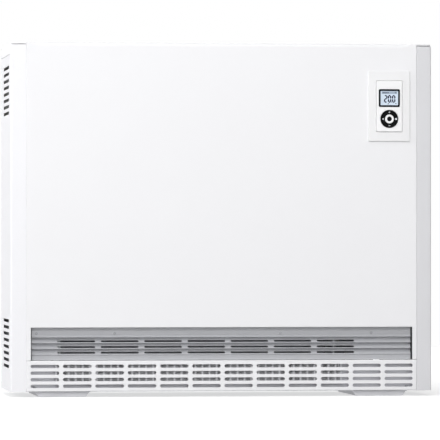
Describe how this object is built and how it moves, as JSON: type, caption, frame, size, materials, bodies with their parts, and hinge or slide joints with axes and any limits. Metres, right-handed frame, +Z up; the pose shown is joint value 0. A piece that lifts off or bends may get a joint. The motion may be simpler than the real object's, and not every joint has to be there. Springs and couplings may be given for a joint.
{
  "type": "storage heater",
  "caption": "Free-standing fan storage heater: sheet casing with louvred outlet, slotted tilting inlet grille, display and ring key; brick store, elements, flap and fan inside.",
  "frame": {"origin": "middle of the footprint on the floor, halfway between the centre button's face and the wall plane", "axes": "+Z up, +X to the right as seen from the front, +Y from the front towards the wall"},
  "size_m": [0.78, 0.2816, 0.65],
  "materials": {
    "casing_enamel": "fine satin powder coat, white",
    "grille_silver": "satin silver-grey coat",
    "zinc_sheet": "hot-dip zinc, faint spangle",
    "foot_grey": "light grey coat",
    "fascia_white": "fine eroded white plastic",
    "module_white": "smooth white plastic",
    "display_dark": "gloss dark blue-black",
    "display_blue": "backlit pale blue display",
    "key_black": "satin black plastic",
    "filter_grey": "moulded grey plastic",
    "inner_plastic": "moulded cream plastic",
    "dark_plastic": "moulded black plastic",
    "rubber_black": "matt rubber",
    "board_green": "lacquered circuit board",
    "insulation": "pressed mineral board",
    "store_brick": "fired iron-oxide brick",
    "element_steel": "heat-tinted steel tube",
    "fan_metal": "plain aluminium",
    "screw_zinc": "zinc-plated"
  },
  "bodies": {
    "root": {"front_panel": "casing_enamel", "side_panel_left": "casing_enamel", "side_panel_right": "casing_enamel", "top_cover": "casing_enamel", "rear_panel": "zinc_sheet", "base_tray": "zinc_sheet", "foot_rail_left": "foot_grey", "foot_rail_right": "foot_grey", "outlet_grille": "grille_silver", "grille_screws": "screw_zinc", "grille_rail": "zinc_sheet", "grille_hinges": "zinc_sheet", "grille_catches": "zinc_sheet", "inlet_plate": "zinc_sheet", "control_fascia": "fascia_white", "control_module": "module_white", "display_frame": "display_dark", "display_screen": "display_blue", "key_carrier": "inner_plastic", "micro_switches": "dark_plastic", "control_board": "board_green", "inner_cover": "zinc_sheet", "partition_wall": "zinc_sheet", "cradle_plate": "zinc_sheet", "cradle_support_left": "zinc_sheet", "cradle_support_right": "zinc_sheet", "base_board": "insulation", "front_board": "insulation", "rear_board": "insulation", "left_board": "insulation", "right_board": "insulation", "top_board": "insulation", "storage_bricks": "store_brick", "heating_element_low": "element_steel", "heating_element_mid": "element_steel", "heating_element_high": "element_steel", "mixing_floor": "zinc_sheet", "mixing_back": "zinc_sheet", "flap_bearing": "inner_plastic", "flap_actuator": "inner_plastic", "fan_scroll": "zinc_sheet", "fan_tongue": "zinc_sheet", "fan_bearing": "rubber_black", "fan_motor": "dark_plastic", "charge_controller": "board_green", "heater_relay": "inner_plastic", "terminal_block": "inner_plastic", "safety_limiter": "dark_plastic", "wiring_loom": "dark_plastic", "cable_gland": "rubber_black", "wall_bracket": "zinc_sheet", "back_fittings": "dark_plastic"},
    "inlet_grille": {"inlet_grille": "casing_enamel", "lint_filter": "filter_grey"},
    "fan_rotor": {"fan_rotor": "fan_metal"},
    "mixing_flap": {"mixing_flap": "fan_metal"},
    "key_gimbal": {"key_gimbal": "inner_plastic"},
    "ring_key": {"ring_key": "key_black"},
    "centre_button": {"centre_button": "module_white", "button_cap": "key_black"}
  },
  "joints": [
    {"name": "inlet_grille_tilt", "type": "hinge", "parent": "root", "child": "inlet_grille", "pos_m": [0, -0.12825, 0.015], "axis": [1, 0, 0], "range_deg": [0, 70]},
    {"name": "fan_spin", "type": "hinge", "parent": "root", "child": "fan_rotor", "pos_m": [0, 0.02375, 0.066], "axis": [1, 0, 0], "continuous": true},
    {"name": "flap_tilt", "type": "hinge", "parent": "root", "child": "mixing_flap", "pos_m": [0, -0.04825, 0.123], "axis": [1, 0, 0], "range_deg": [0, 40]},
    {"name": "ring_up_down", "type": "hinge", "parent": "root", "child": "key_gimbal", "pos_m": [0.3096, -0.13515, 0.5115], "axis": [1, 0, 0], "range_deg": [-2.5, 2.5], "stiffness_Nm_per_rad": 0.5},
    {"name": "ring_left_right", "type": "hinge", "parent": "key_gimbal", "child": "ring_key", "pos_m": [0.3096, -0.13685, 0.5115], "axis": [0, 0, 1], "range_deg": [-2.5, 2.5], "stiffness_Nm_per_rad": 0.5},
    {"name": "centre_button_press", "type": "slide", "parent": "root", "child": "centre_button", "axis": [0, 1, 0], "range_m": [0, 0.0006], "stiffness_N_per_m": 1500}
  ]
}
